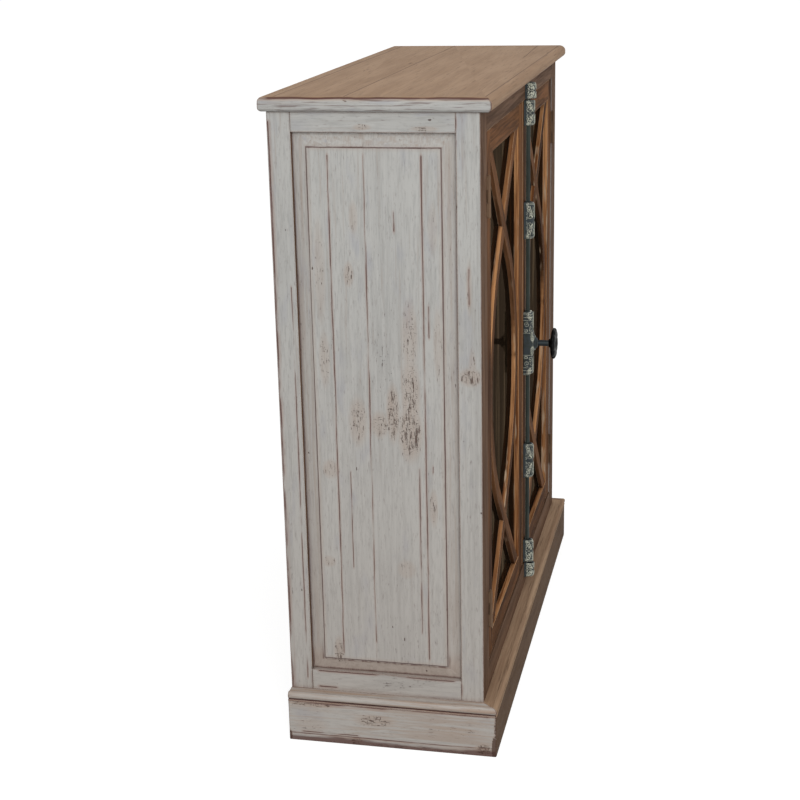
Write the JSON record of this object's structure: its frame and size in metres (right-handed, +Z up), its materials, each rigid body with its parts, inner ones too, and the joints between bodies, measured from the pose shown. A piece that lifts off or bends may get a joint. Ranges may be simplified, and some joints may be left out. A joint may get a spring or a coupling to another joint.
{
  "type": "accent cabinet",
  "caption": "Low two-door cabinet with raised side panels, glazed doors under crossing bows, plank top, moulded plinth and a surface bolt turned by a knob.",
  "frame": {"origin": "on the floor, at the middle of the cabinet's box, knob included", "axes": "+X to the right seen from the front, +Y to the back, +Z up"},
  "size_m": [0.9872, 0.3974, 1.067],
  "materials": {
    "white_paint": "worn off-white paint on pine",
    "frame_stain": "grey-brown stain, waxed",
    "door_stain": "dark brown stain, waxed",
    "top_stain": "tan stain, worn",
    "inner_wood": "stained pine",
    "glass": "clear",
    "iron": "dark, rubbed to pewter on high spots",
    "steel": "plain"
  },
  "bodies": {
    "case": {"back_boards": "inner_wood", "back_left_post": "white_paint", "back_rails": "inner_wood", "back_right_post": "white_paint", "catch_magnet": "steel", "door_stop": "inner_wood", "floor_board": "inner_wood", "frame_screws": "steel", "front_bottom_rail": "frame_stain", "front_left_post": "white_paint", "front_right_post": "white_paint", "front_top_rail": "frame_stain", "hinge_frame_leaves": "iron", "hinge_pins": "iron", "left_panel": "white_paint", "left_side_rails": "white_paint", "plinth_cap_front": "frame_stain", "plinth_cap_left": "white_paint", "plinth_cap_right": "white_paint", "plinth_front": "frame_stain", "plinth_left": "white_paint", "plinth_right": "white_paint", "right_panel": "white_paint", "right_side_rails": "white_paint", "rod_keepers": "iron", "shelf_cleats": "inner_wood", "shelves": "inner_wood", "top_front_nosing": "top_stain", "top_front_plank": "top_stain", "top_left_nosing": "white_paint", "top_rear_plank": "top_stain", "top_rear_strip": "top_stain", "top_right_nosing": "white_paint"},
    "left_door": {"left_door_bottom_rail": "door_stain", "left_door_glass": "glass", "left_door_glass_beads": "inner_wood", "left_door_hinge_bow": "door_stain", "left_door_hinge_stile": "door_stain", "left_door_meeting_bow": "door_stain", "left_door_meeting_stile": "door_stain", "left_door_screws": "steel", "left_door_top_rail": "door_stain", "left_hinge_leaves": "iron", "catch_plate": "steel"},
    "right_door": {"right_door_bottom_rail": "door_stain", "right_door_glass": "glass", "right_door_glass_beads": "inner_wood", "right_door_hinge_bow": "door_stain", "right_door_hinge_stile": "door_stain", "right_door_meeting_bow": "door_stain", "right_door_meeting_stile": "door_stain", "right_door_screws": "steel", "right_door_top_rail": "door_stain", "right_hinge_leaves": "iron", "bolt_case": "iron", "rod_guides": "iron"},
    "bolt_knob": {"knob": "iron", "pinion_shaft": "steel"},
    "upper_bolt": {"upper_rod": "iron"},
    "lower_bolt": {"lower_rod": "iron"}
  },
  "joints": [
    {"name": "left_door_swing", "type": "hinge", "parent": "case", "child": "left_door", "pos_m": [-0.411, -0.142, 0.5695], "axis": [0, 0, -1], "range_deg": [0, 110]},
    {"name": "right_door_swing", "type": "hinge", "parent": "case", "child": "right_door", "pos_m": [0.411, -0.142, 0.5695], "axis": [0, 0, 1], "range_deg": [0, 110]},
    {"name": "knob_turn", "type": "hinge", "parent": "right_door", "child": "bolt_knob", "pos_m": [0.0275, -0.1625, 0.565], "axis": [0, -1, 0], "range_deg": [0, 120]},
    {"name": "upper_bolt_slide", "type": "slide", "parent": "right_door", "child": "upper_bolt", "axis": [0, 0, 1], "range_m": [0, 0.0126]},
    {"name": "lower_bolt_slide", "type": "slide", "parent": "right_door", "child": "lower_bolt", "axis": [0, 0, -1], "range_m": [0, 0.0126]}
  ],
  "couplings": [
    {"joint": "upper_bolt_slide", "follows": "knob_turn", "m_per_rad": 0.006},
    {"joint": "lower_bolt_slide", "follows": "knob_turn", "m_per_rad": 0.006}
  ]
}
